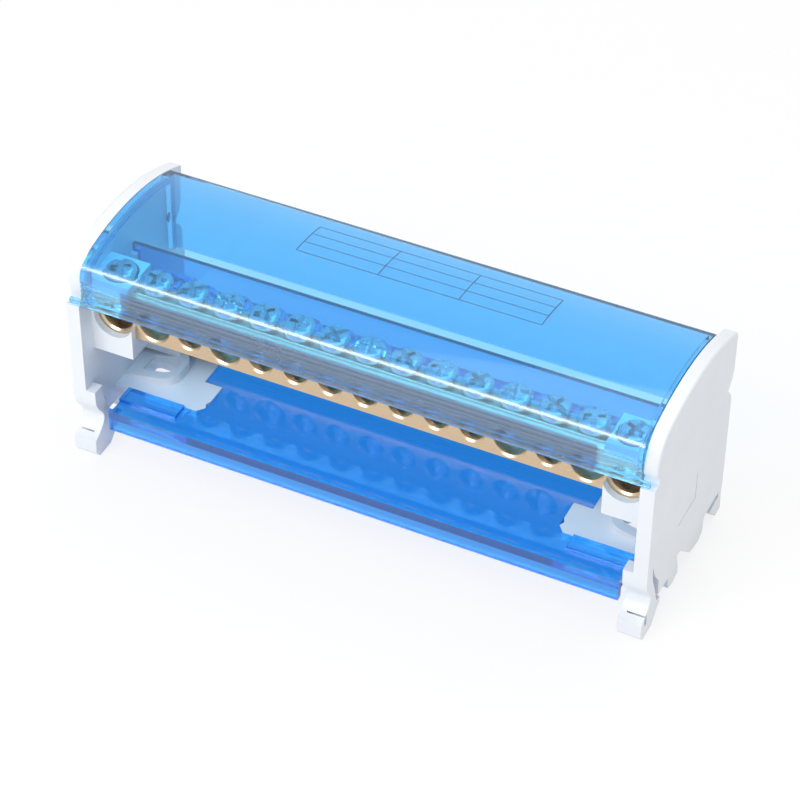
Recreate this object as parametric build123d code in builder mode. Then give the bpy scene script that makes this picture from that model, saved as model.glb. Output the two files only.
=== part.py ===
from build123d import *
from math import sqrt
import os

os.makedirs("parts", exist_ok=True)

# Frame, in millimetres: X runs along the block, Y from the wire side to the back, Z up.
# Y is zero on the middle line of the mounting rail, Z is zero on the face that the rail touches.

# Envelope
length = 137.0
front_overhang = 8.0
back_overhang = 3.0
cheek_wall = 3.2
inner_x = length / 2 - cheek_wall

# Arched top, shared by the cheeks and the cover
crown_y = -5.0
crown_z = 49.0
crown_radius = 60.0
rim_front_radius = 7.5
rim_back_radius = 3.5
rim_edge_radius = 0.7
rim_setback = 1.5

# Mounting rail
rail_width = 35.0
rail_sheet = 1.0
rail_play = 0.25
hook_reach = 4.6
foot_bottom = -6.4
foot_top = 6.0

# Hollow in the back edge of the cheeks
dent_top_drop = 14.5
dent_drop = 19.8
dent_bottom_drop = 24.6
dent_depth = 2.8

# Shallow moulded line on the outer face of the cheeks
mark_front = -8.3
mark_back = 1.2
mark_z = 12.2
mark_top = 19.3
mark_groove = 0.4
mark_depth = 0.3

# Wire holes, from one end to the other
small_hole = 5.8
large_hole = 7.4
hole_edge = 0.4
mixed_pitch_extra = 0.4
large_pitch_extra = 0.7
half_pattern = ["small", "small", "small", "small", "large", "small", "large", "large"]

# Bars
bar_depth = 6.5
bar_height = 12.2
bar_end = 4.8
bar_end_gap = 0.5
bar_edge = 0.3
hole_rise = 4.9
upper_bar_setback = 6.6
upper_bar_drop = 23.5
pole_step_y = 19.9
lower_bar_rise = 3.3

# Terminal screws
screw_shank = 5.0
screw_play = 0.05
head_diameter = 7.0
head_height = 2.8
head_gap = 1.0
head_flat = 4.0
head_side = 1.2
drive_slot = 1.0
drive_length = 3.2
drive_depth = 1.2
drive_angle = 40
tip_clearance = 0.9
tip_cone = 1.1

# Floor and its front wall
plate_z = 2.5
plate_thickness = 2.0
plate_top = plate_z + plate_thickness
tray_setback = 2.5
tray_setback_back = 4.0
tray_wall = 1.5
tray_inset = 3.8
tray_lip = 1.1
back_wall_top = 14.0
pad_inset = 18.0
pad_depth = 4.4
pad_height = 0.9
seat_play = 0.1

# Tongues of the cheeks, seen in the cut-outs of the floor
tongue_front = -13.4
tongue_step = -3.8
tongue_back = 7.5
tongue_length = 22.2
tongue_length_back = 17.7

# Bar holders on the cheeks
holder_length = 9.8
holder_front_wall = 1.7
holder_back_wall = 1.8
holder_roof = 2.4
upper_skirt = 4.7
lower_skirt = 1.6
holder_scoop = 4.7
bar_play = 0.05

# Fixing bosses on the tongues
boss_y = -4.0
boss_width = 10.4
boss_length = 12.7
boss_corner = 3.8
boss_rise = 2.6
fixing_hole = 4.2
fixing_length = 6.4
fixing_inset = 7.0
pocket_width = 5.6
pocket_wall = 1.4
pocket_inset = 3.4

# Wall between the poles
barrier_y = -1.9
barrier_wall = 1.4
barrier_drop = 12.6
barrier_height = 13.2
guide_wall = 1.1
guide_depth = 1.4

# Cover
cover_gap = 0.3
cover_wall = 1.6
cover_proud = 0.7
cover_setback = 4.3
cover_corner = 3.8
cover_edge = 1.4
cover_lip_drop = 12.6
skirt_drop = 25.0
flange_depth = 3.2
flange_wall = 1.3
lip_height = 1.4
lip_depth = 0.7
lip_inset = 1.1
lip_proud = 0.2
slot_play = 0.6
slot_depth = 2.3
rib_depth = 0.3
rib_pitch = 1.3
hinge_setback = 6.3
hinge_drop = 16.0
pin_diameter = 2.6
pin_length = 1.9
pin_play = 0.08

# Latch legs at the front
leg_width = 5.5
leg_top = 12.0
leg_thickness = 3.2
leg_waist = 3.0
lever_bottom = -6.4
catch_reach = 1.3

# Places that follow from the sizes above
front_y = -rail_width / 2 - front_overhang
back_y = rail_width / 2 + back_overhang
dent_top = crown_z - dent_top_drop
dent_z = crown_z - dent_drop
dent_bottom = crown_z - dent_bottom_drop
barrier_top = crown_z - barrier_drop
barrier_bottom = barrier_top - barrier_height
cover_lip_z = crown_z - cover_lip_drop
skirt_z = crown_z - skirt_drop
hinge_y = back_y - hinge_setback
hinge_z = crown_z - hinge_drop
tray_front = front_y + tray_setback
tray_back = back_y - tray_setback_back
rim_front = front_y + rim_setback
cover_front = rim_front - cover_proud
cover_back = back_y - cover_setback
cover_half = inner_x - cover_gap
lip_front = front_y - lip_proud
lip_half = length / 2 - lip_inset
holder_inner_x = inner_x - holder_length
tongue_end_x = inner_x - tongue_length
tongue_back_end_x = inner_x - tongue_length_back
tray_half = inner_x - tray_inset
pad_inner_x = inner_x - pad_inset
boss_inner_x = inner_x - boss_length
fixing_x = inner_x - fixing_inset
bar_half = inner_x - bar_end_gap
last_hole_x = bar_half - bar_end
upper_bar_y = front_y + upper_bar_setback
upper_bar_z = crown_z - upper_bar_drop
lower_bar_y = upper_bar_y + pole_step_y
lower_bar_z = plate_top + lower_bar_rise


def arch_z(y, inset=0.0):
    """Height of the arched top over the depth y, for a face inset below it."""
    radius = crown_radius - inset
    return crown_z - crown_radius + sqrt(radius**2 - (y - crown_y) ** 2)


def hole_row():
    """Places and diameters of the wire holes along X, mirrored about the middle one.

    Wider holes stand a little further apart. The plain pitch shares out what is left.
    """
    diameters = {"small": small_hole, "large": large_hole}
    extras = {0: 0.0, 1: mixed_pitch_extra, 2: large_pitch_extra}
    steps = [extras[pair.count("large")] for pair in zip(half_pattern, half_pattern[1:])]
    plain_pitch = (last_hole_x - sum(steps)) / len(steps)
    row = [(0.0, small_hole)]
    x = 0.0
    for extra, beside in zip(steps, half_pattern[1:]):
        x += plain_pitch + extra
        row.append((x, diameters[beside]))
        row.insert(0, (-x, diameters[beside]))
    return row


holes = hole_row()
hole_web = min(
    right[0] - left[0] - (right[1] + left[1]) / 2 for left, right in zip(holes, holes[1:])
)
hole_chamfer = min(hole_edge, hole_web / 3)


def bar_holder(bar_y, bar_z, skirt):
    """C-shaped seat round one end of a bar, scooped out in front of its last wire hole."""
    middle_y = bar_y + bar_depth / 2
    front = bar_y - holder_front_wall
    back = bar_y + bar_depth + holder_back_wall
    with BuildPart() as holder:
        with BuildSketch(Plane.YZ.offset(holder_inner_x)):
            with Locations((front, bar_z - skirt)):
                Rectangle(
                    back - front, skirt + bar_height + holder_roof, align=(Align.MIN, Align.MIN)
                )
            with Locations((middle_y, bar_z + bar_height / 2)):
                Rectangle(
                    bar_depth + 2 * bar_play, bar_height + 2 * bar_play, mode=Mode.SUBTRACT
                )
        extrude(amount=inner_x - holder_inner_x)
        with BuildSketch(Plane.XZ.offset(-front)):
            with Locations((last_hole_x, bar_z + hole_rise)):
                Circle(holder_scoop)
                Rectangle(
                    2 * holder_scoop, bar_height - hole_rise, align=(Align.CENTER, Align.MIN)
                )
        extrude(amount=-holder_front_wall, mode=Mode.SUBTRACT)
        with BuildSketch(Plane.XY.offset(bar_z + bar_height)):
            with Locations((last_hole_x, middle_y)):
                Circle(head_diameter / 2 + 0.5)
        extrude(amount=holder_roof, mode=Mode.SUBTRACT)
        if skirt > holder_roof:
            with BuildSketch(Plane.XY.offset(bar_z - skirt)):
                with Locations((inner_x, middle_y)):
                    Rectangle(
                        inner_x - holder_inner_x - guide_wall,
                        bar_depth,
                        align=(Align.MAX, Align.CENTER),
                    )
            extrude(amount=skirt - holder_roof, mode=Mode.SUBTRACT)
    return holder.part


def fixing_boss():
    """Boss whose top slopes up from the cheek to a rounded end, with a pocket for a screw's head."""
    radius = boss_width / 2
    pocket_round_x = boss_inner_x + pocket_wall + pocket_width / 2
    with BuildPart() as wedge:
        with BuildSketch(Plane.XZ.offset(-(boss_y + radius))):
            with BuildLine():
                Polyline(
                    (inner_x, plate_top),
                    (boss_inner_x, plate_top),
                    (boss_inner_x, plate_top + boss_rise),
                    (inner_x, plate_top + 0.1),
                    close=True,
                )
            make_face()
        extrude(amount=boss_width)
        fillet(wedge.edges().filter_by(Axis.Z).group_by(Axis.X)[0], radius=boss_corner)
        with BuildSketch(Plane.XY.offset(plate_top)):
            with Locations((pocket_round_x, boss_y)):
                Circle(pocket_width / 2)
                Rectangle(
                    inner_x - pocket_inset - pocket_round_x,
                    pocket_width,
                    align=(Align.MIN, Align.CENTER),
                )
        extrude(amount=boss_rise, mode=Mode.SUBTRACT)
    return wedge.part


def shell_outline(inset, drop):
    """Closed outline of the cover moved inwards by inset, its open side lowered by drop."""
    front, back = cover_front + inset, cover_back - inset
    front_top = (front, arch_z(front, inset))
    back_top = (back, arch_z(back, inset))
    with BuildSketch() as outline:
        with BuildLine():
            Line((front, cover_lip_z - drop), front_top)
            ThreePointArc(front_top, (crown_y, crown_z - inset), back_top)
            Polyline(back_top, (back, skirt_z - drop), (front, cover_lip_z - drop))
        make_face()
        top_front = outline.vertices().sort_by(Axis.Y)[-2:].sort_by(Axis.X)[0]
        fillet(top_front, max(cover_corner - inset, 0.5))
    return outline.sketch


upper_holder = bar_holder(upper_bar_y, upper_bar_z, upper_skirt)
lower_holder = bar_holder(lower_bar_y, lower_bar_z, lower_skirt)
boss = fixing_boss()

# Right cheek, one moulding with its holders, tongue, fixing boss and latch leg
rail_edge = rail_width / 2 + rail_play
slot_top = cover_lip_z + lip_height + slot_play
slot_height = lip_height + 2 * slot_play
with BuildPart() as right_cheek:
    with BuildSketch(Plane.YZ.offset(inner_x)) as cheek_face:
        with BuildLine():
            Polyline(
                (front_y, leg_top),
                (front_y, slot_top - slot_height),
                (front_y + slot_depth, slot_top - slot_height),
                (front_y + slot_depth, slot_top),
                (rim_front, slot_top),
                (rim_front, arch_z(rim_front)),
            )
            ThreePointArc(
                (rim_front, arch_z(rim_front)), (crown_y, crown_z), (back_y, arch_z(back_y))
            )
            Line((back_y, arch_z(back_y)), (back_y, dent_top))
            Spline(
                (back_y, dent_top),
                (back_y - dent_depth, dent_z),
                (back_y, dent_bottom),
                tangents=((0, -1), (0, -1)),
            )
            Line((back_y, dent_bottom), (back_y, foot_top))
            Polyline(
                (back_y, foot_top),
                (back_y - 0.9, -2.0),
                (back_y - 0.5, foot_bottom),
                (back_y - 3.6, foot_bottom),
                (rail_edge - hook_reach, -rail_sheet - 1.2),
                (rail_edge, -rail_sheet - 0.4),
                (rail_edge, 0.0),
                (9.0, 0.0),
                (8.5, -4.0),
                (6.5, -5.2),
                (1.4, -4.0),
                (-1.0, -2.0),
                (-5.4, 2.2),
                (-7.4, 2.4),
                (-6.2, -1.4),
                (-6.0, -3.6),
                (-9.2, -4.2),
                (-11.6, -3.4),
                (-12.2, 0.0),
                (-rail_edge, 0.0),
                (-rail_edge - 0.3, 4.6),
                (front_y + leg_thickness + 1.6, leg_top - 4.0),
                (front_y + leg_thickness, leg_top),
                (front_y, leg_top),
            )
        make_face()
        top_corners = cheek_face.vertices().sort_by(Axis.Y)[-2:]
        fillet(top_corners.sort_by(Axis.X)[0], radius=rim_front_radius)
        fillet(top_corners.sort_by(Axis.X)[-1], radius=rim_back_radius)
    extrude(amount=cheek_wall)
    rim_edges = right_cheek.faces().sort_by(Axis.X)[-1].edges().filter_by(
        lambda e: e.center().Z > slot_top
    )
    fillet(rim_edges, radius=rim_edge_radius)

    # Shallow moulded line on the outer face
    with BuildSketch(Plane.YZ.offset(length / 2)):
        with BuildLine():
            Polyline(
                (mark_back, mark_top),
                (mark_back, mark_z),
                (mark_front, mark_z),
                (mark_front, mark_z - mark_groove),
                (mark_back + mark_groove, mark_z - mark_groove),
                (mark_back + mark_groove, mark_top),
                close=True,
            )
        make_face()
    extrude(amount=-mark_depth, mode=Mode.SUBTRACT)

    add(upper_holder)
    add(lower_holder)

    # Guides for the end of the wall between the poles
    with BuildSketch(Plane.XY.offset(barrier_bottom)):
        with Locations((inner_x, barrier_y + barrier_wall / 2)):
            Rectangle(
                guide_depth,
                barrier_wall + 2 * guide_wall,
                align=(Align.MAX, Align.CENTER),
            )
            Rectangle(
                guide_depth,
                barrier_wall + 2 * bar_play,
                align=(Align.MAX, Align.CENTER),
                mode=Mode.SUBTRACT,
            )
    extrude(amount=barrier_top - barrier_bottom - 2.0)

    # Tongue in the cut-out of the floor
    with BuildSketch(Plane.XY.offset(plate_z)):
        with BuildLine():
            Polyline(
                (inner_x, tongue_front),
                (tongue_end_x + 1.5, tongue_front),
                (tongue_end_x, tongue_front + 1.8),
                (tongue_end_x + 0.6, tongue_front + 3.0),
                (tongue_end_x, tongue_front + 4.2),
                (tongue_end_x, tongue_step),
                (tongue_back_end_x, tongue_step),
                (tongue_back_end_x, tongue_back),
                (inner_x, tongue_back),
                close=True,
            )
        make_face()
    extrude(amount=plate_thickness)

    # Fixing boss with its slot
    add(boss)
    with BuildSketch(Plane.XY.offset(plate_z)):
        with Locations((fixing_x, boss_y)):
            SlotOverall(fixing_length, fixing_hole)
    extrude(amount=plate_thickness, mode=Mode.SUBTRACT)

    # Springy latch leg with its lever block and catch
    leg_inner_x = length / 2 - leg_width
    with BuildSketch(Plane.YZ.offset(leg_inner_x)) as leg_side:
        with BuildLine():
            Spline(
                (front_y, leg_top),
                (front_y + 0.6, 7.2),
                (front_y + leg_waist, 2.6),
                (front_y + 0.6, -0.2),
                (front_y - 1.2, -1.2),
                tangents=((0, -1), (-1, -0.4)),
            )
            Polyline(
                (front_y - 1.2, -1.2),
                (front_y - 1.4, -4.6),
                (front_y, lever_bottom),
                (front_y + 4.8, lever_bottom),
                (-rail_edge + 0.3, -3.4),
                (-rail_edge + catch_reach, -3.0),
                (-rail_edge + catch_reach, -rail_sheet - 0.5),
                (-rail_edge - 0.6, -rail_sheet - 0.1),
                (-rail_edge - 1.4, 0.8),
            )
            Spline(
                (-rail_edge - 1.4, 0.8),
                (front_y + leg_thickness + 1.8, 4.6),
                (front_y + leg_thickness + 0.4, 8.0),
                (front_y + leg_thickness, leg_top),
            )
            Line((front_y + leg_thickness, leg_top), (front_y, leg_top))
        make_face()
    extrude(amount=leg_width)
    with BuildSketch(Plane.YZ.offset(length / 2)):
        with Locations((front_y + 1.1, -1.6)):
            Rectangle(1.3, 3.0)
    extrude(amount=-(leg_width - 1.4), mode=Mode.SUBTRACT)

    # Blind socket for the cover's hinge pin
    with BuildSketch(Plane.YZ.offset(inner_x)):
        with Locations((hinge_y, hinge_z)):
            Circle(pin_diameter / 2 + pin_play)
    extrude(amount=pin_length - cover_gap + 0.2, mode=Mode.SUBTRACT)
right_cheek.part.label = "right_cheek"
export_step(right_cheek.part, "parts/right_cheek.step")


with BuildPart() as left_cheek:
    mirror(right_cheek.part, about=Plane.YZ)
left_cheek.part.label = "left_cheek"
export_step(left_cheek.part, "parts/left_cheek.step")


# Floor with its front and back walls, cut out for the tongues
with BuildPart() as base_tray:
    with BuildSketch(Plane.XY.offset(plate_z)):
        with Locations((0, tongue_front)):
            Rectangle(2 * inner_x, tray_back - tongue_front, align=(Align.CENTER, Align.MIN))
            Rectangle(2 * tray_half, tongue_front - tray_front, align=(Align.CENTER, Align.MAX))
        for side in (-1, 1):
            with BuildLine():
                Polyline(
                    (side * inner_x, tongue_front - seat_play),
                    (side * (tongue_end_x + 1.5 - seat_play), tongue_front - seat_play),
                    (side * (tongue_end_x - seat_play), tongue_front + 1.8),
                    (side * (tongue_end_x - seat_play), tongue_step + seat_play),
                    (side * (tongue_back_end_x - seat_play), tongue_step + seat_play),
                    (side * (tongue_back_end_x - seat_play), tongue_back + seat_play),
                    (side * inner_x, tongue_back + seat_play),
                    close=True,
                )
            make_face(mode=Mode.SUBTRACT)
    extrude(amount=plate_thickness)
    with BuildSketch(Plane.YZ.offset(-tray_half)):
        with BuildLine():
            Polyline(
                (tray_front, 0.0),
                (tray_front + tray_wall, 0.0),
                (tray_front + tray_wall, plate_z),
                (tray_front + tray_wall + 1.2, plate_top),
                (tray_front + tray_wall, plate_top + 0.2),
                (tray_front + 0.9, plate_top + tray_lip),
                (tray_front, plate_top + tray_lip),
                close=True,
            )
        make_face()
    extrude(amount=2 * tray_half)
    with BuildSketch(Plane.YZ.offset(-inner_x)):
        with Locations((tray_back, 0.0)):
            Rectangle(tray_wall, back_wall_top, align=(Align.MAX, Align.MIN))
    extrude(amount=2 * inner_x)
    with BuildSketch(Plane.XY.offset(plate_top)):
        for side in (-1, 1):
            with Locations((side * (pad_inner_x + tray_half) / 2, tongue_front - 0.4)):
                Rectangle(tray_half - pad_inner_x, pad_depth, align=(Align.CENTER, Align.MAX))
    extrude(amount=pad_height)
base_tray.part.label = "base_tray"
export_step(base_tray.part, "parts/base_tray.step")


# Insulating wall between the two poles
with BuildPart() as pole_barrier:
    with BuildSketch(Plane.YZ.offset(-inner_x)):
        with BuildLine():
            Polyline(
                (barrier_y, barrier_bottom),
                (barrier_y + barrier_wall, barrier_bottom),
                (barrier_y + barrier_wall, barrier_top - 0.4),
                (barrier_y + barrier_wall - 0.4, barrier_top),
                (barrier_y, barrier_top),
                close=True,
            )
        make_face()
    extrude(amount=2 * inner_x)
pole_barrier.part.label = "pole_barrier"
export_step(pole_barrier.part, "parts/pole_barrier.step")


# Arched cover: one shell with end flanges, hinge pins, grip lip and fine ribs
with BuildPart() as cover:
    with BuildSketch(Plane.YZ.offset(-cover_half)):
        add(shell_outline(0.0, 0.0))
    extrude(amount=2 * cover_half)
    back_edge = cover.edges().filter_by(Axis.X).group_by(Axis.Y)[-1].sort_by(Axis.Z)[-1]
    fillet(back_edge, radius=cover_edge)
    with BuildSketch(Plane.YZ.offset(-cover_half)):
        add(shell_outline(flange_depth, 8.0))
    extrude(amount=2 * cover_half, mode=Mode.SUBTRACT)
    with BuildSketch(Plane.YZ.offset(-cover_half + flange_wall)):
        add(shell_outline(cover_wall, 8.0))
    extrude(amount=2 * (cover_half - flange_wall), mode=Mode.SUBTRACT)

    # Grip lip, longer than the cover, in front of the cheeks
    with BuildSketch(Plane.YZ.offset(-lip_half)):
        with Locations((lip_front, cover_lip_z)):
            Rectangle(lip_depth, lip_height, align=(Align.MIN, Align.MIN))
    extrude(amount=2 * lip_half)
    with BuildSketch(Plane.YZ.offset(-cover_half)):
        with Locations((lip_front, cover_lip_z)):
            Rectangle(
                cover_front + cover_wall / 2 - lip_front, lip_height, align=(Align.MIN, Align.MIN)
            )
    extrude(amount=2 * cover_half)

    # Fine ribs along the foot of the front wall
    with BuildSketch(Plane.YZ.offset(-cover_half)):
        for row in range(1, 4):
            with Locations((cover_front, cover_lip_z + lip_height + row * rib_pitch)):
                Rectangle(2 * rib_depth, rib_pitch / 2)
    extrude(amount=2 * cover_half, mode=Mode.SUBTRACT)

    # Hinge pins
    for side in (-1, 1):
        with BuildSketch(Plane.YZ.offset(side * cover_half)):
            with Locations((hinge_y, hinge_z)):
                Circle(pin_diameter / 2)
        extrude(amount=side * pin_length)
cover.part.label = "cover"
export_step(cover.part, "parts/cover.step")


# Bars and screws of both poles
for pole, bar_y, bar_z in (
    ("upper", upper_bar_y, upper_bar_z),
    ("lower", lower_bar_y, lower_bar_z),
):
    axis_y = bar_y + bar_depth / 2
    hole_z = bar_z + hole_rise
    with BuildPart() as bar:
        with BuildSketch(Plane.YZ.offset(-bar_half)):
            with Locations((bar_y, bar_z)):
                Rectangle(bar_depth, bar_height, align=(Align.MIN, Align.MIN))
        extrude(amount=2 * bar_half)
        chamfer(bar.edges().filter_by(Axis.X), length=bar_edge)
        with BuildSketch(Plane.XZ.offset(-bar_y)):
            for x, diameter in holes:
                with Locations((x, hole_z)):
                    Circle(diameter / 2)
        extrude(amount=-bar_depth, mode=Mode.SUBTRACT)
        chamfer(
            bar.faces().sort_by(Axis.Y)[0].edges().filter_by(GeomType.CIRCLE), length=hole_chamfer
        )
        with BuildSketch(Plane.XY.offset(hole_z)):
            for x, diameter in holes:
                with Locations((x, axis_y)):
                    Circle(screw_shank / 2 + screw_play)
        extrude(amount=bar_height, mode=Mode.SUBTRACT)
    bar.part.label = f"{pole}_bar"
    export_step(bar.part, f"parts/{pole}_bar.step")

    tip_z = hole_z - small_hole / 2 + tip_clearance
    seat_z = bar_z + bar_height + head_gap
    for number, (x, diameter) in enumerate(holes, start=1):
        with BuildPart() as terminal_screw:
            with BuildSketch(Plane.XZ.offset(-axis_y)):
                with BuildLine():
                    Polyline(
                        (x, seat_z + head_height),
                        (x, tip_z),
                        (x + screw_shank / 2 - tip_cone, tip_z),
                        (x + screw_shank / 2, tip_z + tip_cone),
                        (x + screw_shank / 2, seat_z),
                        (x + head_diameter / 2, seat_z),
                        (x + head_diameter / 2, seat_z + head_side),
                        (x + head_flat / 2, seat_z + head_height),
                        close=True,
                    )
                make_face()
            revolve(axis=Axis((x, axis_y, 0), (0, 0, 1)))
            with BuildSketch(Plane.XY.offset(seat_z + head_height)):
                with Locations((x, axis_y)):
                    Rectangle(drive_length, drive_slot, rotation=drive_angle)
            extrude(amount=-drive_depth, mode=Mode.SUBTRACT)
        terminal_screw.part.label = f"{pole}_screw_{number:02d}"
        export_step(terminal_screw.part, f"parts/{pole}_screw_{number:02d}.step")
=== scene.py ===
# %% [markdown]
# # A distribution terminal block in soft studio light
#
# Two rows of drilled brass bars carry the current in a block like this one. White end cheeks hold
# them over a blue see-through floor, and a hinged see-through cover keeps fingers away from the
# screws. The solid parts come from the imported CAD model. This notebook gives them their finishes,
# and adds what is too fine for the solids: the threads and drive crosses of the screws, and a blank
# table grid on the cover.

import bpy
import bmesh
import math
import numpy as np
from mathutils import Matrix, Vector


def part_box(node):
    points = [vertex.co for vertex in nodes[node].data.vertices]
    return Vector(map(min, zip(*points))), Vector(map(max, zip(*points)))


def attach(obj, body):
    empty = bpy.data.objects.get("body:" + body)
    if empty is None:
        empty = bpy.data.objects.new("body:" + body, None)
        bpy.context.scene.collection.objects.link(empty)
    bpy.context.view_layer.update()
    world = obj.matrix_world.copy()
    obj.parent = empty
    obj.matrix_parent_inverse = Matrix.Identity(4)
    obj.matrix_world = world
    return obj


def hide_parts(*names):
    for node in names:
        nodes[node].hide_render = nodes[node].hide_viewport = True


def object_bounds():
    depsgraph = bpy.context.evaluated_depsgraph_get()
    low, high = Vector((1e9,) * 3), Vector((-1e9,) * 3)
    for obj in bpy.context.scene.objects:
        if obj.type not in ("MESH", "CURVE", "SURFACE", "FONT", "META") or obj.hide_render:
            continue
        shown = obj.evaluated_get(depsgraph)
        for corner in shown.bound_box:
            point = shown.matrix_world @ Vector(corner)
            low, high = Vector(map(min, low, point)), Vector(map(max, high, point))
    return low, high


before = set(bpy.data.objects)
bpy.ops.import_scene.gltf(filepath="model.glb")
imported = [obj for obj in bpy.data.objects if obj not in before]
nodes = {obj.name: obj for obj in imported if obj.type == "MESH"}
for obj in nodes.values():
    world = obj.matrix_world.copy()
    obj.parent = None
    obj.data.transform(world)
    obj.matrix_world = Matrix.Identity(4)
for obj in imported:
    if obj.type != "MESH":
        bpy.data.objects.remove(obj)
cad_low, cad_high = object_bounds()
mm = 0.001
print("CAD box in mm", [round(v / mm, 1) for v in (cad_high - cad_low)])

# %% [markdown]
# ## The camera
#
# A product photographer stands well back with a long lens, so that the far end of the block looks
# hardly smaller than the near one. The camera could be aimed at a point with a constraint. Here the
# view direction is two angles, and the camera's own axes follow from them, so that a small roll can
# turn the axes about the line of sight.

# %% Camera
view_azimuth = math.radians(25.467)
view_elevation = math.radians(41.016)
view_roll = math.radians(-0.443)
camera_place = np.array([204.4, -430.2, 428.6]) * mm
lens_mm = 129.5
sensor_width_mm = 36.0
nearest_seen = 10.0 * mm


def camera_axes(azimuth, elevation, roll):
    """Right, up and backward axes of a camera.

    backward = (sin a cos e, -cos a cos e, sin e), right is level and up = backward x right. Right
    and up are then turned by the roll in their own plane.
    """
    backward = np.array(
        [
            math.sin(azimuth) * math.cos(elevation),
            -math.cos(azimuth) * math.cos(elevation),
            math.sin(elevation),
        ]
    )
    level = np.array([math.cos(azimuth), math.sin(azimuth), 0.0])
    upward = np.cross(backward, level)
    right = level * math.cos(roll) - upward * math.sin(roll)
    up = level * math.sin(roll) + upward * math.cos(roll)
    return right, up, backward


def place_camera():
    """Makes the camera and sets its matrix from the three axes and its place."""
    data = bpy.data.cameras.new("camera")
    data.lens = lens_mm
    data.sensor_width = sensor_width_mm
    data.clip_start = nearest_seen
    camera = bpy.data.objects.new("camera", data)
    bpy.context.collection.objects.link(camera)
    matrix = np.eye(4)
    matrix[:3, :3] = np.stack(camera_axes(view_azimuth, view_elevation, view_roll), axis=-1)
    matrix[:3, 3] = camera_place
    camera.matrix_world = Matrix(matrix.tolist())
    bpy.context.scene.camera = camera


place_camera()
bpy.context.scene.view_settings.view_transform = "Standard"
print("camera stands", round(float(np.linalg.norm(camera_place)), 3), "m away")

# %% [markdown]
# ## Small helpers for materials
#
# Every finish below starts from one Principled shader. The helpers make the material, place a node
# with its settings, place a shared group, and give a CAD node its finish. Patterns read Object
# coordinates, which are metres here because every piece sits at the origin.

# %% Material helpers


def new_material(name):
    """A material with one Principled shader, as (material, node tree, shader)."""
    material = bpy.data.materials.new(name)
    material.use_nodes = True
    tree = material.node_tree
    tree.nodes.clear()
    shader = tree.nodes.new("ShaderNodeBsdfPrincipled")
    output = tree.nodes.new("ShaderNodeOutputMaterial")
    tree.links.new(shader.outputs["BSDF"], output.inputs["Surface"])
    return material, tree, shader


def add_node(tree, kind, inputs=None, **settings):
    """A node of this kind with its properties and its unlinked inputs set."""
    node = tree.nodes.new(kind)
    for key, value in settings.items():
        setattr(node, key, value)
    for key, value in (inputs or {}).items():
        node.inputs[key].default_value = value
    return node


def place_group(tree, group, inputs):
    """Puts a node group into a material with its own values."""
    return add_node(tree, "ShaderNodeGroup", inputs, node_tree=group)


def finish_node(name, material):
    """Makes this the only material of a CAD node."""
    slots = nodes[name].data.materials
    slots.clear()
    slots.append(material)


print("material helpers ready")

# %% [markdown]
# ## Three effects that several finishes share
#
# Handled plastic is never equally glossy all over: faint smears come and go every centimetre or so.
# Drawn metal has fine lines along one direction. The front walls of the blue floor and cover look
# different from the rest, with painted light and shade and another dullness, so a mask picks them
# out by their place. Each effect could be built again in every material. As a node group it is
# built once, with its own inputs.

# %% Helper that makes a group


def new_group(name, numbers_in, numbers_out, vectors_in=()):
    """A node group with sockets of these names, as (group, its input node, its output node)."""
    group = bpy.data.node_groups.new(name, "ShaderNodeTree")
    add_socket = group.interface.new_socket
    for socket in vectors_in:
        add_socket(socket, in_out="INPUT", socket_type="NodeSocketVector")
    for socket in numbers_in:
        add_socket(socket, in_out="INPUT", socket_type="NodeSocketFloat")
    for socket in numbers_out:
        add_socket(socket, in_out="OUTPUT", socket_type="NodeSocketFloat")
    return group, group.nodes.new("NodeGroupInput"), group.nodes.new("NodeGroupOutput")


print("group helper ready")

# %% Group: smears on plastic


def smear_group():
    """Roughness that drifts between two values with a soft noise, and a height for waviness.

    The noise changes over about Size metres, and its middle range is spread from Glossy to Dull.
    """
    group, start, end = new_group(
        "plastic_smears", ("Size", "Glossy", "Dull"), ("Roughness", "Height")
    )
    place = add_node(group, "ShaderNodeTexCoord")
    scale = add_node(group, "ShaderNodeMath", {0: 1.0}, operation="DIVIDE")
    noise = add_node(group, "ShaderNodeTexNoise", {"Detail": 4.0, "Roughness": 0.6})
    spread = add_node(group, "ShaderNodeMapRange", {"From Min": 0.35, "From Max": 0.65})
    link = group.links.new
    link(start.outputs["Size"], scale.inputs[1])
    link(place.outputs["Object"], noise.inputs["Vector"])
    link(scale.outputs[0], noise.inputs["Scale"])
    link(noise.outputs["Fac"], spread.inputs["Value"])
    link(start.outputs["Glossy"], spread.inputs["To Min"])
    link(start.outputs["Dull"], spread.inputs["To Max"])
    link(spread.outputs["Result"], end.inputs["Roughness"])
    link(noise.outputs["Fac"], end.inputs["Height"])
    return group


plastic_smears = smear_group()
print("group", plastic_smears.name)

# %% Group: drawing lines on metal


def drawn_group():
    """Lines along one axis, as a mask and as a roughness from Smooth to Rough.

    They are a noise that reads the place times Stretch: a small factor along an axis draws it out.
    """
    group, start, end = new_group(
        "drawn_lines", ("Smooth", "Rough"), ("Mask", "Roughness"), vectors_in=("Stretch",)
    )
    place = add_node(group, "ShaderNodeTexCoord")
    squeeze = add_node(group, "ShaderNodeVectorMath", operation="MULTIPLY")
    noise = add_node(group, "ShaderNodeTexNoise", {"Scale": 1.0, "Detail": 5.0, "Roughness": 0.7})
    spread = add_node(group, "ShaderNodeMapRange", {"From Min": 0.3, "From Max": 0.7})
    link = group.links.new
    link(place.outputs["Object"], squeeze.inputs[0])
    link(start.outputs["Stretch"], squeeze.inputs[1])
    link(squeeze.outputs[0], noise.inputs["Vector"])
    link(noise.outputs["Fac"], spread.inputs["Value"])
    link(start.outputs["Smooth"], spread.inputs["To Min"])
    link(start.outputs["Rough"], spread.inputs["To Max"])
    link(noise.outputs["Fac"], end.inputs["Mask"])
    link(spread.outputs["Result"], end.inputs["Roughness"])
    return group


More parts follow.
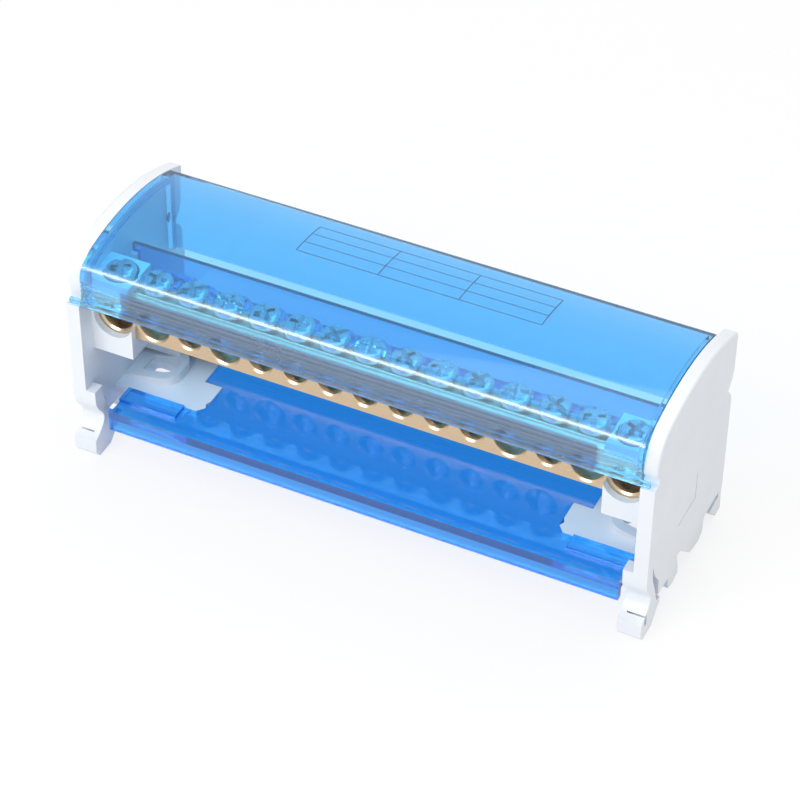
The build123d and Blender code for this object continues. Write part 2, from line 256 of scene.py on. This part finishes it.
drawn_lines = drawn_group()
print("group", drawn_lines.name)

# %% Group: mask of a front wall
mask_fade = 0.5 * mm


def front_group():
    """A mask that is 1 where |X| is below Reach, Y is below Depth and Z is below Height.

    Each limit gives a ramp from 1 at the limit down to 0 at the fade beyond it. The mask is the
    product of the three ramps.
    """
    group, start, end = new_group("front_wall_mask", ("Reach", "Depth", "Height"), ("Mask",))
    link = group.links.new
    place = add_node(group, "ShaderNodeTexCoord")
    parts = add_node(group, "ShaderNodeSeparateXYZ")
    side = add_node(group, "ShaderNodeMath", operation="ABSOLUTE")
    link(place.outputs["Object"], parts.inputs[0])
    link(parts.outputs["X"], side.inputs[0])

    def ramp(limit, value):
        """The ramp of one limit over the value that it bounds."""
        far = add_node(group, "ShaderNodeMath", {1: mask_fade}, operation="ADD")
        slope = add_node(group, "ShaderNodeMapRange", {"To Min": 1.0, "To Max": 0.0})
        link(start.outputs[limit], far.inputs[0])
        link(value, slope.inputs["Value"])
        link(start.outputs[limit], slope.inputs["From Min"])
        link(far.outputs[0], slope.inputs["From Max"])
        return slope.outputs["Result"]

    within = add_node(group, "ShaderNodeMath", operation="MULTIPLY")
    mask = add_node(group, "ShaderNodeMath", operation="MULTIPLY")
    link(ramp("Reach", side.outputs[0]), within.inputs[0])
    link(ramp("Depth", parts.outputs["Y"]), within.inputs[1])
    link(within.outputs[0], mask.inputs[0])
    link(ramp("Height", parts.outputs["Z"]), mask.inputs[1])
    link(mask.outputs[0], end.inputs["Mask"])
    return group


front_wall_mask = front_group()
print("group", front_wall_mask.name)

# %% [markdown]
# ## White moulding
#
# The cheeks are a cool white polyamide with a fine satin skin from the mould. One flat white would
# look like paper on the large outer face, so two close tones drift into each other there. A very
# fine noise as bump gives the skin, and the shared smears make the gloss vary a little.

# %% White moulding
white_tone = (0.80, 0.83, 0.87, 1.0)
white_shade = (0.76, 0.80, 0.85, 1.0)
skin_depth = 0.2 * mm


def white_moulding():
    """Cool white plastic: two close tones mixed by a slow noise, satin smears and a fine skin."""
    material, tree, shader = new_material("white_moulding")
    link = tree.links.new
    place = add_node(tree, "ShaderNodeTexCoord")
    slow = add_node(tree, "ShaderNodeTexNoise", {"Scale": 45.0, "Detail": 2.0})
    tone = add_node(tree, "ShaderNodeMix", data_type="RGBA")
    tone.inputs["A"].default_value = white_tone
    tone.inputs["B"].default_value = white_shade
    smears = place_group(tree, plastic_smears, {"Size": 10.0 * mm, "Glossy": 0.3, "Dull": 0.42})
    skin = add_node(tree, "ShaderNodeTexNoise", {"Scale": 3500.0, "Detail": 2.0})
    bump = add_node(tree, "ShaderNodeBump", {"Strength": 0.06, "Distance": skin_depth})
    link(place.outputs["Object"], slow.inputs["Vector"])
    link(place.outputs["Object"], skin.inputs["Vector"])
    link(slow.outputs["Fac"], tone.inputs["Factor"])
    link(tone.outputs["Result"], shader.inputs["Base Color"])
    link(smears.outputs["Roughness"], shader.inputs["Roughness"])
    link(skin.outputs["Fac"], bump.inputs["Height"])
    link(bump.outputs["Normal"], shader.inputs["Normal"])
    shader.inputs["IOR"].default_value = 1.5
    return material


white = white_moulding()
finish_node("left_cheek", white)
finish_node("right_cheek", white)
print("white moulding on the cheeks")

# %% [markdown]
# ## See-through blue plastic
#
# Floor, cover and the wall between the poles are tinted polycarbonate. Real tint lies in the depth
# of a wall, and a volume shader could model that, but it is slow and noisy. Here each wall is glass
# whose colour tints what passes, and the deep colour of the cut edges comes from light that is
# caught inside and crosses many walls. Lamp light has to reach what lies behind, so for shadow rays
# a tinted Transparent shader takes the glass's place.
#
# Between the holders the cover's front wall is duller than the clear top, and its grey tint
# there is painted shade for the shaded metal seen through it. The floor's front wall is a little
# duller too, and its lighter tint is painted light for the glow of its lit edge. The shared mask
# picks out both. The cover's front bend shows a bright line: a coat there, with a high index,
# mirrors the front lamp.

# %% Clear blue plastic
smear_size = 14.0 * mm
wave_depth = 0.3 * mm


def clear_blue(name, tint, shadow_tint, clearness, bending, smear, waviness):
    """Tinted glass with smears, which lets lamp light through in its own tint.

    Clearness is the share of the plastic that passes light, and the rest is milky. Bending is its
    index, and smear holds its least and its greatest roughness.
    """
    material, tree, shader = new_material(name)
    link = tree.links.new
    shader.inputs["Base Color"].default_value = (*tint, 1.0)
    shader.inputs["Transmission Weight"].default_value = clearness
    shader.inputs["IOR"].default_value = bending
    glossy, dull = smear
    smears = place_group(tree, plastic_smears, {"Size": smear_size, "Glossy": glossy, "Dull": dull})
    bump = add_node(tree, "ShaderNodeBump", {"Strength": waviness, "Distance": wave_depth})
    link(smears.outputs["Roughness"], shader.inputs["Roughness"])
    link(smears.outputs["Height"], bump.inputs["Height"])
    link(bump.outputs["Normal"], shader.inputs["Normal"])
    lamp_way = add_node(tree, "ShaderNodeBsdfTransparent", {"Color": (*shadow_tint, 1.0)})
    path = add_node(tree, "ShaderNodeLightPath")
    blend = add_node(tree, "ShaderNodeMixShader")
    output = shader.outputs["BSDF"].links[0].to_node
    link(path.outputs["Is Shadow Ray"], blend.inputs["Fac"])
    link(shader.outputs["BSDF"], blend.inputs[1])
    link(lamp_way.outputs["BSDF"], blend.inputs[2])
    link(blend.outputs["Shader"], output.inputs["Surface"])
    return material


print("clear plastic ready")

# %% Painted light and shade, dullness and coat on a front wall
# No limit is one metre, which no part of the block reaches.
coat_bending = 1.7
no_limit = 1.0


def principled_of(material):
    """The Principled shader of a material."""
    return next(node for node in material.node_tree.nodes if node.type == "BSDF_PRINCIPLED")


def paint_front_light_and_shade(material, tint, dullness, reach, depth, height):
    """Paints light and shade inside the mask as a tint, with roughness smears + dullness x mask."""
    tree = material.node_tree
    link = tree.links.new
    shader = principled_of(material)
    limits = {"Reach": reach, "Depth": depth, "Height": height}
    front = place_group(tree, front_wall_mask, limits)
    tone = add_node(tree, "ShaderNodeMix", data_type="RGBA")
    tone.inputs["A"].default_value = shader.inputs["Base Color"].default_value
    tone.inputs["B"].default_value = (*tint, 1.0)
    dull = add_node(tree, "ShaderNodeMath", {1: dullness}, operation="MULTIPLY_ADD")
    smeared = shader.inputs["Roughness"].links[0].from_socket
    link(front.outputs["Mask"], tone.inputs["Factor"])
    link(tone.outputs["Result"], shader.inputs["Base Color"])
    link(front.outputs["Mask"], dull.inputs[0])
    link(smeared, dull.inputs[2])
    link(dull.outputs[0], shader.inputs["Roughness"])


def add_coat(material, weight, dullness):
    """A clear coat over the whole plastic."""
    shader = principled_of(material)
    shader.inputs["Coat Weight"].default_value = weight
    shader.inputs["Coat Roughness"].default_value = dullness
    shader.inputs["Coat IOR"].default_value = coat_bending


def limit_coat(material, depth):
    """Keeps a coat of full weight only where Y is below this depth."""
    tree = material.node_tree
    limits = {"Reach": no_limit, "Depth": depth, "Height": no_limit}
    bend = place_group(tree, front_wall_mask, limits)
    tree.links.new(bend.outputs["Mask"], principled_of(material).inputs["Coat Weight"])


print("front wall helpers ready")

# %% Blue floor
tray_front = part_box("base_tray")[0].y
floor_blue = clear_blue(
    "floor_blue",
    tint=(0.03, 0.30, 0.85),
    shadow_tint=(0.2, 0.55, 0.93),
    clearness=0.86,
    bending=1.5,
    smear=(0.03, 0.07),
    waviness=0.02,
)
# Painted light: the lighter tint of the floor's front wall stands in for the glow of its lit edge.
paint_front_light_and_shade(
    floor_blue,
    tint=(0.03, 0.38, 0.88),
    dullness=0.1,
    reach=no_limit,
    depth=tray_front + 1.0 * mm,
    height=20.0 * mm,
)
add_coat(floor_blue, weight=0.4, dullness=0.03)
finish_node("base_tray", floor_blue)
print("blue floor, its front wall at y mm", round(tray_front / mm, 1))

# %% Blue wall between the poles
wall_blue = clear_blue(
    "wall_blue",
    tint=(0.16, 0.50, 0.93),
    shadow_tint=(0.4, 0.7, 0.96),
    clearness=0.95,
    bending=1.5,
    smear=(0.03, 0.07),
    waviness=0.02,
)
finish_node("pole_barrier", wall_blue)
print("blue wall between the poles")

# %% Blue cover
cover_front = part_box("cover")[0].y
cover_blue = clear_blue(
    "cover_blue",
    tint=(0.28, 0.70, 1.0),
    shadow_tint=(0.5, 0.82, 1.0),
    clearness=0.95,
    bending=1.42,
    smear=(0.03, 0.06),
    waviness=0.008,
)
# Painted shade: between the holders the grey tint of the cover's front wall stands in for the shaded
# metal seen through it.
paint_front_light_and_shade(
    cover_blue,
    tint=(0.13, 0.18, 0.33),
    dullness=0.22,
    reach=55.0 * mm,
    depth=cover_front + 2.2 * mm,
    height=42.5 * mm,
)
add_coat(cover_blue, weight=1.0, dullness=0.28)
limit_coat(cover_blue, depth=cover_front + 2.6 * mm)
finish_node("cover", cover_blue)
print("blue cover, its front wall at y mm", round(cover_front / mm, 1))

# %% [markdown]
# ## Drawn brass
#
# The bars are cut from drawn brass: a dull gold with lines along their length. A picture of brushed
# metal could be wrapped round them, but it would break at the edges and in the drilled holes. The
# shared lines run through the solid instead, so they carry on over every face.

# %% Brass
brass_light = (0.78, 0.61, 0.43, 1.0)
brass_dark = (0.60, 0.44, 0.28, 1.0)
line_depth = 0.1 * mm


def drawn_brass():
    """Brass whose tone and roughness follow lines along X."""
    material, tree, shader = new_material("bar_brass")
    link = tree.links.new
    lines = place_group(
        tree, drawn_lines, {"Stretch": (90.0, 2500.0, 2500.0), "Smooth": 0.22, "Rough": 0.42}
    )
    tone = add_node(tree, "ShaderNodeMix", data_type="RGBA")
    tone.inputs["A"].default_value = brass_dark
    tone.inputs["B"].default_value = brass_light
    bump = add_node(tree, "ShaderNodeBump", {"Strength": 0.12, "Distance": line_depth})
    link(lines.outputs["Mask"], tone.inputs["Factor"])
    link(tone.outputs["Result"], shader.inputs["Base Color"])
    link(lines.outputs["Roughness"], shader.inputs["Roughness"])
    link(lines.outputs["Mask"], bump.inputs["Height"])
    link(bump.outputs["Normal"], shader.inputs["Normal"])
    shader.inputs["Metallic"].default_value = 1.0
    return material


brass = drawn_brass()
finish_node("upper_bar", brass)
finish_node("lower_bar", brass)
print("brass on both bars")

# %% [markdown]
# ## Terminal screws
#
# The CAD screws are plain pegs with a slotted head. The real ones have a thread, which shows in the
# wire holes, and a cross for the driver. The thread could be a bump pattern, but its outline shows
# against the hole. So one fine screw is worked out as a surface that turns a profile about its
# axis, with the thread as a radius that depends on angle and height together. Two bars cut out of
# the head make the cross. The mesh is then copied to each place, because all screws are alike.

# %% Zinc-plated steel
steel_tone = (0.72, 0.73, 0.75, 1.0)


def plated_steel():
    """Bright plated steel with a faint cloudy roughness."""
    material, tree, shader = new_material("screw_steel")
    clouds = place_group(
        tree, drawn_lines, {"Stretch": (900.0, 900.0, 900.0), "Smooth": 0.16, "Rough": 0.32}
    )
    shader.inputs["Base Color"].default_value = steel_tone
    shader.inputs["Metallic"].default_value = 1.0
    tree.links.new(clouds.outputs["Roughness"], shader.inputs["Roughness"])
    return material


steel = plated_steel()
print("steel ready")

# %% Screw measures
axis_low, axis_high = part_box("upper_screw_08")
screw_length = axis_high.z - axis_low.z
head_radius = (axis_high.x - axis_low.x) / 2
head_height = 2.8 * mm
head_round = 1.2 * mm
head_round_rows = 8
under_head_inset = 0.25 * mm
under_head_rise = 0.2 * mm
shank_radius = 2.5 * mm
thread_pitch = 0.8 * mm
thread_depth = 0.35 * mm
thread_end_gap = 0.2 * mm
rows_per_turn = 5
tip_cone = 1.1 * mm
tip_ring = 0.35 * mm
screw_columns = 48
print("screw length in mm", round(screw_length / mm, 2))

# %% Mesh helpers


def mesh_from_grid(name, points, close_around):
    """A mesh from a grid of points (rows, columns, 3), its columns joined round where asked."""
    rows, columns = points.shape[:2]
    index = np.arange(rows * columns).reshape(rows, columns)
    beside = np.roll(index, -1, axis=1)
    a, b = index[:-1], beside[:-1]
    c, d = beside[1:], index[1:]
    if not close_around:
        a, b, c, d = (part[:, :-1] for part in (a, b, c, d))
    quads = np.stack([a, b, c, d], axis=-1).reshape(-1, 4)
    mesh = bpy.data.meshes.new(name)
    mesh.from_pydata(points.reshape(-1, 3).tolist(), [], quads.tolist())
    return mesh


def close_ends(mesh, columns):
    """Caps the first and the last ring of a turned mesh with one face each."""
    work = bmesh.new()
    work.from_mesh(mesh)
    verts = list(work.verts)
    work.faces.new(verts[:columns][::-1])
    work.faces.new(verts[-columns:])
    bmesh.ops.recalc_face_normals(work, faces=work.faces[:])
    work.to_mesh(mesh)
    work.free()


def turned(points, angle):
    """Points turned about Z: x' = x cos a - y sin a, and y' = x sin a + y cos a."""
    cosine, sine = math.cos(angle), math.sin(angle)
    return points @ np.array([[cosine, sine, 0.0], [-sine, cosine, 0.0], [0.0, 0.0, 1.0]])


def add_object(name, mesh, material):
    """An object at the origin with this mesh and material."""
    piece = bpy.data.objects.new(name, mesh)
    bpy.context.collection.objects.link(piece)
    piece.data.materials.append(material)
    return piece


print("mesh helpers ready")

# %% Surface of one fine screw, standing on the origin


def screw_points():
    """Surface of a screw turned about Z, its tip at height 0.

    The profile is a list of (radius, height) pairs: the flat tip, the shank, the underside of the
    head and its rounded edge. Where the thread runs, the radius is the shank's less a triangle wave
    of (height / pitch - angle / turn), so the crests climb one pitch in each turn.
    """
    seat = screw_length - head_height
    thread_rows = int(seat / thread_pitch * rows_per_turn)
    shank_z = np.linspace(tip_cone, seat - thread_end_gap, thread_rows)
    tip = [(tip_ring, 0.0), (shank_radius - tip_cone, 0.0)]
    shank = [(shank_radius, z) for z in shank_z]
    under = [
        (shank_radius, seat),
        (head_radius - under_head_inset, seat),
        (head_radius, seat + under_head_rise),
    ]
    bend = np.linspace(0.0, math.pi / 2, head_round_rows)
    edge_radius = head_radius - head_round * (1 - np.cos(bend))
    edge_height = screw_length - head_round * (1 - np.sin(bend))
    edge = list(zip(edge_radius, edge_height))
    profile = np.array(tip + shank + under + edge)
    angle = np.linspace(0.0, 2 * math.pi, screw_columns, endpoint=False)
    radius = np.repeat(profile[:, :1], screw_columns, axis=1)
    height = np.repeat(profile[:, 1:], screw_columns, axis=1)
    wave = np.abs(((height / thread_pitch - angle / (2 * math.pi)) % 1.0) * 2 - 1)
    first, last = len(tip), len(tip) + len(shank)
    radius[first:last] -= thread_depth * wave[first:last]
    radius[first] = shank_radius - thread_depth
    return np.stack([radius * np.cos(angle), radius * np.sin(angle), height], axis=-1)


print("screw grid", screw_points().shape[:2])

# %% Slot and cross for the driver
slot_span = 2.4 * head_radius
slot_width = 1.2 * mm
slot_depth = 1.3 * mm
slot_turn = math.radians(40)
cross_span = 1.3 * head_radius
cross_width = 1.1 * mm
cross_depth = 1.7 * mm
cross_turn = math.radians(130)


def bar_corners(span, width, depth, turn):
    """Eight corners of a bar across the head, turned about the screw's axis, half above its top."""
    signs = np.stack(np.meshgrid([-1, 1], [-1, 1], [-1, 1], indexing="ij"), axis=-1)
    corners = signs.reshape(-1, 3) * np.array([span / 2, width / 2, depth])
    return turned(corners, turn) + np.array([0.0, 0.0, screw_length])


def cross_cutter():
    """Two crossing bars, the driver's slot and cross, as one mesh for a boolean cut."""
    slot = bar_corners(slot_span, slot_width, slot_depth, slot_turn)
    cross = bar_corners(cross_span, cross_width, cross_depth, cross_turn)
    sides = np.array(
        [(0, 1, 3, 2), (4, 6, 7, 5), (0, 4, 5, 1), (2, 3, 7, 6), (0, 2, 6, 4), (1, 5, 7, 3)]
    )
    corners = np.concatenate([slot, cross])
    faces = np.concatenate([sides, sides + len(slot)])
    mesh = bpy.data.meshes.new("cross_cutter")
    mesh.from_pydata(corners.tolist(), [], faces.tolist())
    return mesh


def fine_screw_mesh():
    """The turned screw with the slot and cross cut out of its head."""
    points = screw_points()
    mesh = mesh_from_grid("fine_screw", points, close_around=True)
    close_ends(mesh, screw_columns)
    body = add_object("fine_screw_master", mesh, steel)
    cutter = add_object("cross_cutter", cross_cutter(), steel)
    cut = body.modifiers.new("cross", "BOOLEAN")
    cut.operation = "DIFFERENCE"
    cut.solver = "EXACT"
    cut.object = cutter
    cut.use_self = True
    bpy.context.view_layer.update()
    shaped = body.evaluated_get(bpy.context.evaluated_depsgraph_get())
    result = bpy.data.meshes.new_from_object(shaped)
    bpy.data.objects.remove(body)
    bpy.data.objects.remove(cutter)
    return result


fine_screw = fine_screw_mesh()
print("fine screw faces", len(fine_screw.polygons))

# %% A screw in every place
# Each screw is turned on by the golden angle, so that no two neighbours stand alike.
turn_step = math.radians(137.5)
crease_angle = math.radians(35)


def screw_at(node_name, turn):
    """A copy of the fine screw that stands where this CAD screw does, turned about its axis."""
    low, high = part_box(node_name)
    tip = np.array([(low.x + high.x) / 2, (low.y + high.y) / 2, low.z])
    mesh = fine_screw.copy()
    co = np.empty(len(mesh.vertices) * 3, np.float32)
    mesh.vertices.foreach_get("co", co)
    co = (turned(co.reshape(-1, 3), turn) + tip).astype(np.float32)
    mesh.vertices.foreach_set("co", co.ravel())
    mesh.polygons.foreach_set("use_smooth", [True] * len(mesh.polygons))
    mesh.set_sharp_from_angle(angle=crease_angle)
    mesh.update()
    piece = add_object(f"{node_name}_fine", mesh, steel)
    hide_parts(node_name)
    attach(piece, node_name)
    return piece


screw_names = sorted(name for name in nodes if "_screw_" in name)
screws = [screw_at(name, turn_step * number) for number, name in enumerate(screw_names)]
for name in screw_names:
    finish_node(name, steel)
print("screws placed", len(screws))

# %% [markdown]
# ## Blank table on the cover
#
# The cover carries a small printed table. It could be a pattern in the cover's material, but in
# glass a painted line is only a darker tint. Ink is far too thin for a solid, so each line is a
# narrow strip laid on the arched top, a few hundredths of a millimetre above it. The strip follows
# the arc of the cover: its height is that of a circle through the crown. The cells stay empty.

# %% Height of the cover
crown_y = -5.0 * mm
crown_z = 49.0 * mm
crown_radius = 60.0 * mm
ink_lift = 0.03 * mm
strip_rows = 13


def cover_height(y):
    """Height of the arched top over y: crown less (radius - sqrt(radius^2 - (y - crown)^2))."""
    return crown_z - crown_radius + np.sqrt(crown_radius**2 - (y - crown_y) ** 2)


def ink_strip(start, end, width):
    """A flat strip from start to end, points (x, y), bent onto the arch, as grid points."""
    start, end = np.array(start), np.array(end)
    along = np.linspace(0.0, 1.0, strip_rows)[:, None]
    line = start + (end - start) * along
    side = np.array([-(end - start)[1], (end - start)[0]]) / np.linalg.norm(end - start)
    edges = [line - side * width / 2, line + side * width / 2]
    flat = np.stack(edges, axis=1)
    height = cover_height(flat[..., 1]) + ink_lift
    return np.concatenate([flat, height[..., None]], axis=-1)


print("cover height over the crown in mm", round(float(cover_height(crown_y)) / mm, 2))

# %% Ink
ink_tone = (0.05, 0.07, 0.16, 1.0)


def table_ink():
    """Dull dark ink, a little uneven."""
    material, tree, shader = new_material("table_ink")
    smears = place_group(tree, plastic_smears, {"Size": 2.0 * mm, "Glossy": 0.45, "Dull": 0.7})
    shader.inputs["Base Color"].default_value = ink_tone
    tree.links.new(smears.outputs["Roughness"], shader.inputs["Roughness"])
    return material


ink = table_ink()
print("ink ready")

# %% Table lines
table_left = -24.5 * mm
table_right = 32.8 * mm
table_front = -1.8 * mm
table_back = 9.6 * mm
line_width = 0.2 * mm
column_lines = (table_left, -5.1 * mm, 13.8 * mm, table_right)
row_lines = np.linspace(table_front, table_back, 4)


def table_mesh():
    """All lines of the table joined in one mesh."""
    strips = [ink_strip((x, table_front), (x, table_back), line_width) for x in column_lines]
    strips += [ink_strip((table_left, y), (table_right, y), line_width) for y in row_lines]
    work = bmesh.new()
    for strip in strips:
        part = mesh_from_grid("strip", strip, close_around=False)
        work.from_mesh(part)
        bpy.data.meshes.remove(part)
    bmesh.ops.recalc_face_normals(work, faces=work.faces[:])
    mesh = bpy.data.meshes.new("cover_table")
    work.to_mesh(mesh)
    work.free()
    return mesh


cover_table = add_object("cover_table", table_mesh(), ink)
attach(cover_table, "cover")
print("table lines", len(column_lines) + len(row_lines))

# %% [markdown]
# ## Floor and light
#
# The studio is white all round, and the block's shadow is hardly seen. Strong lamps would make the
# ground white, but they would burn out the white plastic too. So the lamps are large and weak, and
# the ground and the world look white only to the camera, in reflections and through the plastic.
# One long soft lamp in front draws the bright line along the cover's front bend.

# %% Which rays see the plain white
plain_white = (1.0, 1.0, 1.0, 1.0)


def seeing_ray(tree):
    """A value that is 1 for camera, glossy and transmission rays, and 0 for other light."""
    path = add_node(tree, "ShaderNodeLightPath")
    total = path.outputs["Is Camera Ray"]
    for ray in ("Is Glossy Ray", "Is Transmission Ray"):
        joined = add_node(tree, "ShaderNodeMath", operation="ADD", use_clamp=True)
        tree.links.new(total, joined.inputs[0])
        tree.links.new(path.outputs[ray], joined.inputs[1])
        total = joined.outputs[0]
    return total


print("ray helper ready")

# %% White floor
ground_reach = 3.0
ground_tone = (0.9, 0.9, 0.9, 1.0)
ground_whiteness = 0.8


def ground_material():
    """Matt pale ground that is mostly plain white where it is seen, and keeps a soft shadow."""
    material = bpy.data.materials.new("studio_floor")
    material.use_nodes = True
    tree = material.node_tree
    tree.nodes.clear()
    link = tree.links.new
    matt = add_node(tree, "ShaderNodeBsdfDiffuse", {"Color": ground_tone})
    glow = add_node(tree, "ShaderNodeEmission", {"Color": plain_white, "Strength": 1.0})
    share = add_node(tree, "ShaderNodeMath", {1: ground_whiteness}, operation="MULTIPLY")
    blend = add_node(tree, "ShaderNodeMixShader")
    output = add_node(tree, "ShaderNodeOutputMaterial")
    link(seeing_ray(tree), share.inputs[0])
    link(share.outputs[0], blend.inputs["Fac"])
    link(matt.outputs["BSDF"], blend.inputs[1])
    link(glow.outputs["Emission"], blend.inputs[2])
    link(blend.outputs["Shader"], output.inputs["Surface"])
    return material


def studio_floor():
    """A large level square under the feet."""
    corners = [
        (x * ground_reach, y * ground_reach, cad_low.z)
        for x, y in ((-1, -1), (1, -1), (1, 1), (-1, 1))
    ]
    mesh = bpy.data.meshes.new("studio_floor")
    mesh.from_pydata(corners, [], [(0, 1, 2, 3)])
    floor = add_object("studio_floor", mesh, ground_material())


studio_floor()
print("floor at z mm", round(cad_low.z / mm, 2))

# %% White world
ambient = 0.62


def white_world():
    """White where it is seen, dimmer where it lights."""
    world = bpy.data.worlds.new("white_world")
    bpy.context.scene.world = world
    world.use_nodes = True
    tree = world.node_tree
    tree.nodes.clear()
    link = tree.links.new
    light = add_node(tree, "ShaderNodeBackground", {"Color": plain_white, "Strength": ambient})
    seen = add_node(tree, "ShaderNodeBackground", {"Color": plain_white, "Strength": 1.0})
    blend = add_node(tree, "ShaderNodeMixShader")
    output = add_node(tree, "ShaderNodeOutputWorld")
    link(seeing_ray(tree), blend.inputs["Fac"])
    link(light.outputs["Background"], blend.inputs[1])
    link(seen.outputs["Background"], blend.inputs[2])
    link(blend.outputs["Shader"], output.inputs["Surface"])


white_world()
print("ambient", ambient)

# %% Lamps
lamp_aim = np.array([0.0, 0.0, 20.0]) * mm


def soft_lamp(name, place, width, depth, power):
    """A rectangular lamp that faces the middle of the block, in metres and watts."""
    data = bpy.data.lights.new(name, "AREA")
    data.shape = "RECTANGLE"
    data.size = width
    data.size_y = depth
    data.energy = power
    lamp = bpy.data.objects.new(name, data)
    bpy.context.collection.objects.link(lamp)
    lamp.location = place
    towards = Vector(lamp_aim - np.array(place))
    lamp.rotation_euler = towards.to_track_quat("-Z", "Y").to_euler()
    return lamp


lamps = [
    soft_lamp("front_lamp", place=(-0.2, -0.62, 0.62), width=0.55, depth=0.26, power=3.8),
    soft_lamp("top_lamp", place=(0.1, 0.25, 0.9), width=0.8, depth=0.8, power=2.8),
]
print("lamps", len(lamps))
